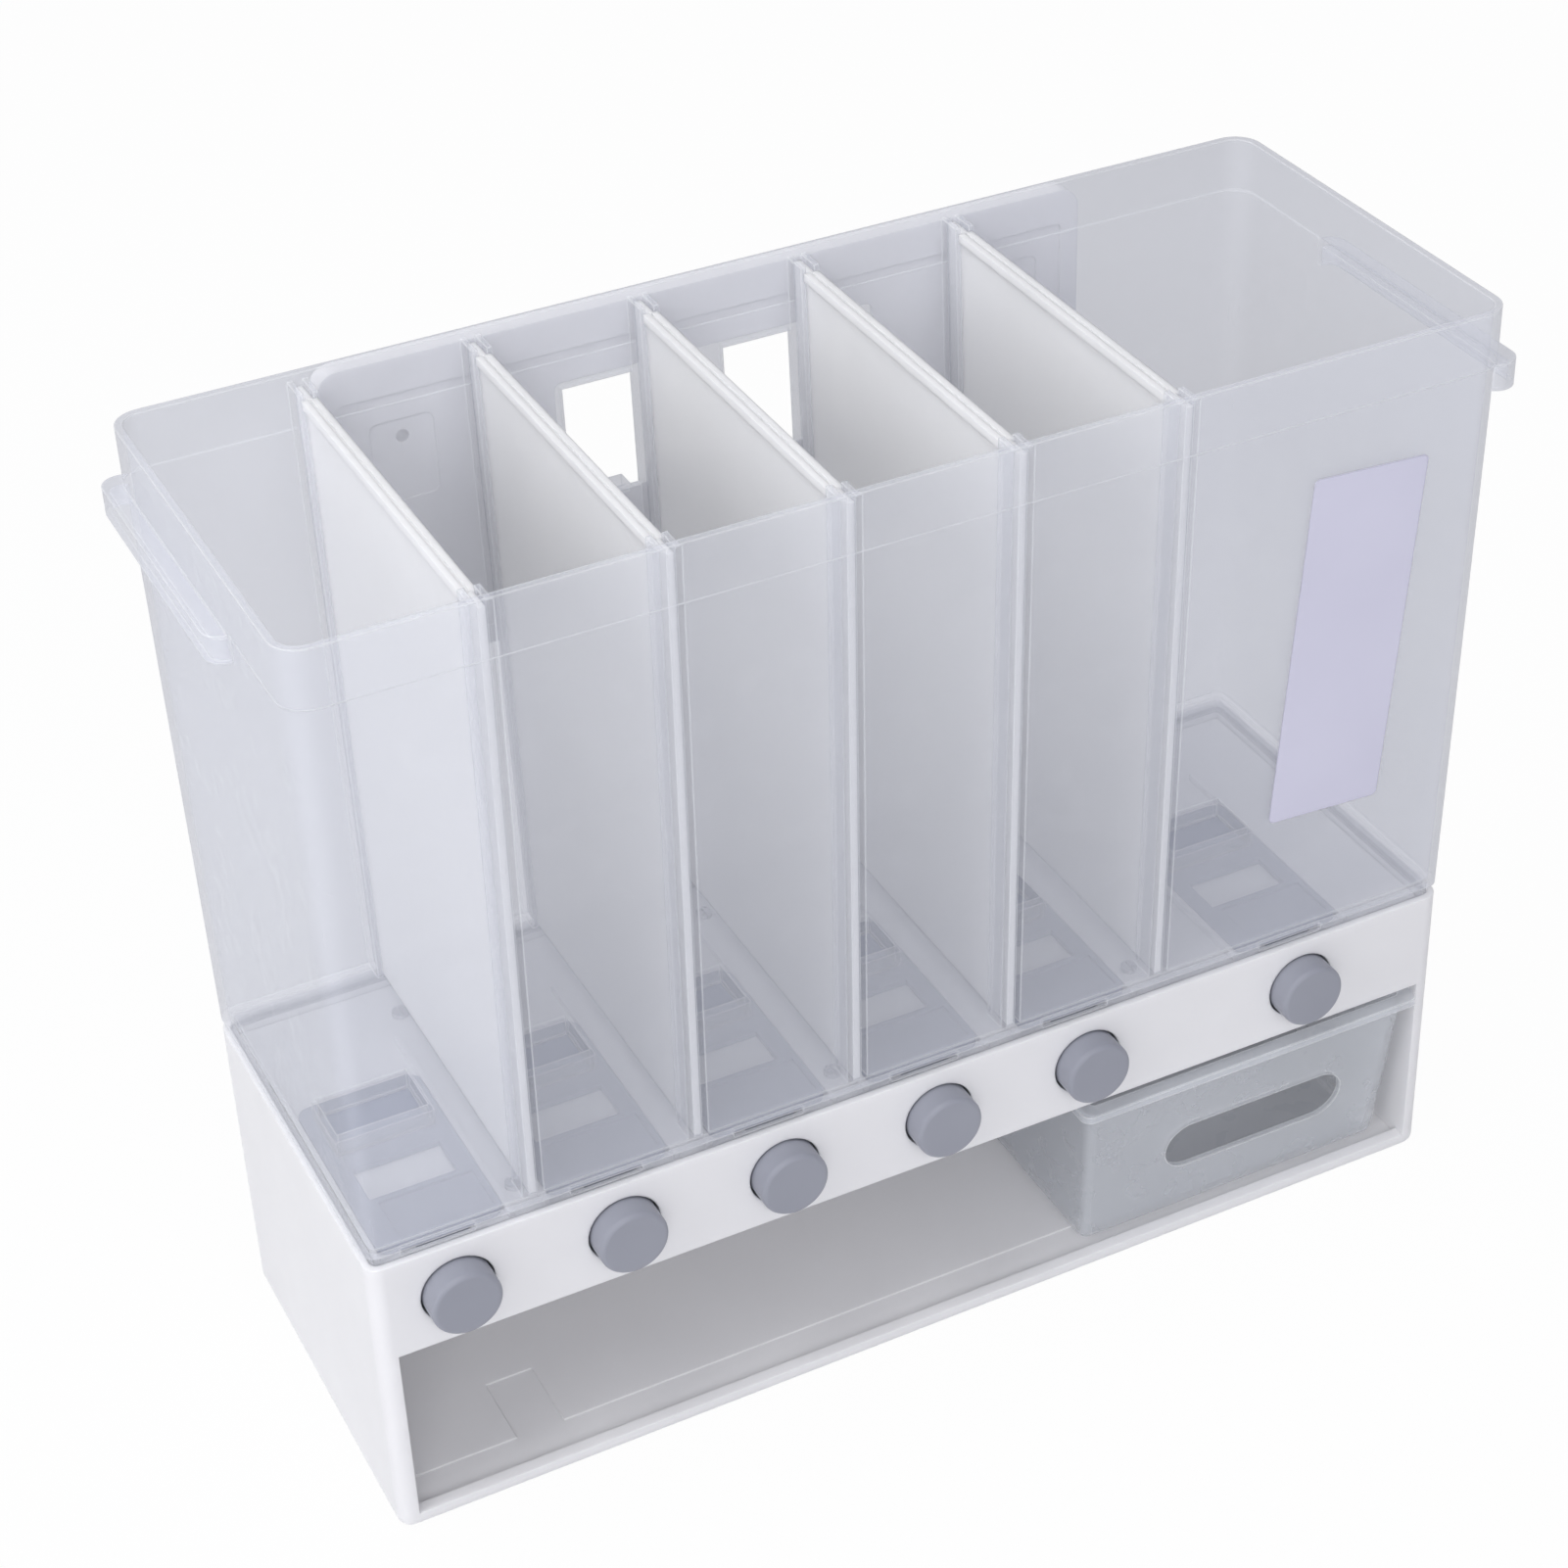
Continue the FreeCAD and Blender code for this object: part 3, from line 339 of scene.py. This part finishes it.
def sight_mask(nodes, path):
    """1 for what is looked at, also in a mirror or through glass, and 0 for light on its way."""
    seen = nodes.add("ShaderNodeMath", operation="MAXIMUM")
    nodes.link(path.outputs["Is Camera Ray"], seen.inputs[0])
    nodes.link(path.outputs["Is Transmission Ray"], seen.inputs[1])
    mirrored = nodes.add("ShaderNodeMath", operation="MAXIMUM")
    nodes.link(seen.outputs[0], mirrored.inputs[0])
    nodes.link(path.outputs["Is Glossy Ray"], mirrored.inputs[1])
    return mirrored.outputs[0]


def paper_material(name):
    """Pale paper that glows where it is looked at, and less where frosted plastic is in front of it."""
    nodes = Nodes(name)
    nodes.put(Base_Color=FLOOR_COLOUR, Roughness=0.9)
    glow = nodes.add("ShaderNodeEmission")
    glow.inputs["Color"].default_value = (1, 1, 1, 1)
    glow.inputs["Strength"].default_value = 1.0
    path = nodes.add("ShaderNodeLightPath")
    veil = nodes.add("ShaderNodeMapRange")
    veil.inputs["To Min"].default_value = GLOW_IN_THE_OPEN
    veil.inputs["To Max"].default_value = GLOW_BEHIND_PLASTIC
    nodes.link(path.outputs["Transparent Depth"], veil.inputs["Value"])
    share = nodes.add("ShaderNodeMath", operation="MULTIPLY")
    nodes.link(sight_mask(nodes, path), share.inputs[0])
    nodes.link(veil.outputs["Result"], share.inputs[1])
    mix = nodes.add("ShaderNodeMixShader")
    nodes.link(share.outputs[0], mix.inputs[0])
    nodes.link(nodes.shader.outputs[0], mix.inputs[1])
    nodes.link(glow.outputs[0], mix.inputs[2])
    nodes.link(mix.outputs[0], nodes.tree.nodes["Material Output"].inputs["Surface"])
    return nodes.material


def floor():
    """A wide sheet just under the object."""
    mesh = bpy.data.meshes.new("floor")
    corners = [(-FLOOR_HALF, -FLOOR_HALF, 0), (FLOOR_HALF, -FLOOR_HALF, 0),
               (FLOOR_HALF, FLOOR_HALF, 0), (-FLOOR_HALF, FLOOR_HALF, 0)]
    mesh.from_pydata(corners, [], [(0, 1, 2, 3)])
    thing = bpy.data.objects.new("floor", mesh)
    bpy.context.scene.collection.objects.link(thing)
    thing.location.z = -FLOOR_DROP
    mesh.materials.append(paper_material("floor_paper"))


def world():
    """Even, slightly blue light from all round."""
    scene = bpy.context.scene
    scene.world = bpy.data.worlds.new("studio")
    scene.world.use_nodes = True
    background = scene.world.node_tree.nodes["Background"]
    background.inputs["Color"].default_value = WORLD_COLOUR
    background.inputs["Strength"].default_value = WORLD_STRENGTH


def lamp(name, place, target, size, power, colour):
    """A soft rectangular lamp at a place, turned to its target."""
    data = bpy.data.lights.new(name, "AREA")
    data.shape = "RECTANGLE"
    data.size, data.size_y = size
    data.energy = power
    data.color = colour
    thing = bpy.data.objects.new(name, data)
    thing.location = place
    thing.rotation_euler = (Vector(target) - Vector(place)).to_track_quat("-Z", "Y").to_euler()
    bpy.context.scene.collection.objects.link(thing)


def lights():
    """The lamps, with sizes and places in metres and power in watts."""
    lamp("key_light", place=(-2.2, -0.3, 1.3), target=(0, 0, 0.2), size=(1.8, 1.8), power=20.0,
         colour=(0.97, 0.98, 1.0))
    lamp("top_light", place=(-0.6, -0.2, 2.1), target=(-0.05, 0, 0.2), size=(0.9, 0.9), power=14.0,
         colour=(0.99, 0.99, 1.0))
    lamp("front_fill", place=(-0.5, -2.0, 1.25), target=(0, 0, 0.1), size=(1.8, 1.0), power=19.5,
         colour=(0.97, 0.975, 1.0))


def camera():
    """The photograph's camera."""
    data = bpy.data.cameras.new("photo_camera")
    thing = bpy.data.objects.new("photo_camera", data)
    bpy.context.scene.collection.objects.link(thing)
    look = Vector((-math.sin(CAMERA_AZIMUTH) * math.cos(CAMERA_ELEVATION),
                   math.cos(CAMERA_AZIMUTH) * math.cos(CAMERA_ELEVATION), -math.sin(CAMERA_ELEVATION)))
    right = look.cross(Vector((0, 0, 1))).normalized()
    up = right.cross(look)
    rolled_right = right * math.cos(CAMERA_ROLL) + up * math.sin(CAMERA_ROLL)
    rolled_up = up * math.cos(CAMERA_ROLL) - right * math.sin(CAMERA_ROLL)
    turn = Matrix((rolled_right, rolled_up, -look)).transposed().to_4x4()
    thing.matrix_world = Matrix.Translation(CAMERA_PLACE) @ turn
    data.sensor_width = SENSOR_WIDTH
    data.lens = FOCAL_PIXELS / PHOTO_SIDE * data.sensor_width
    data.shift_x = (PHOTO_SIDE / 2 - CENTRE_PIXEL[0]) / PHOTO_SIDE
    data.shift_y = (CENTRE_PIXEL[1] - PHOTO_SIDE / 2) / PHOTO_SIDE
    data.clip_end = FARTHEST_SEEN
    bpy.context.scene.camera = thing


camera()
world()
lights()
floor()
spring_steel = steel_material("spring_steel")
dress_all(spring_steel)
for number in BUTTONS:
    spring(number, spring_steel)

bpy.context.scene.view_settings.view_transform = "Standard"
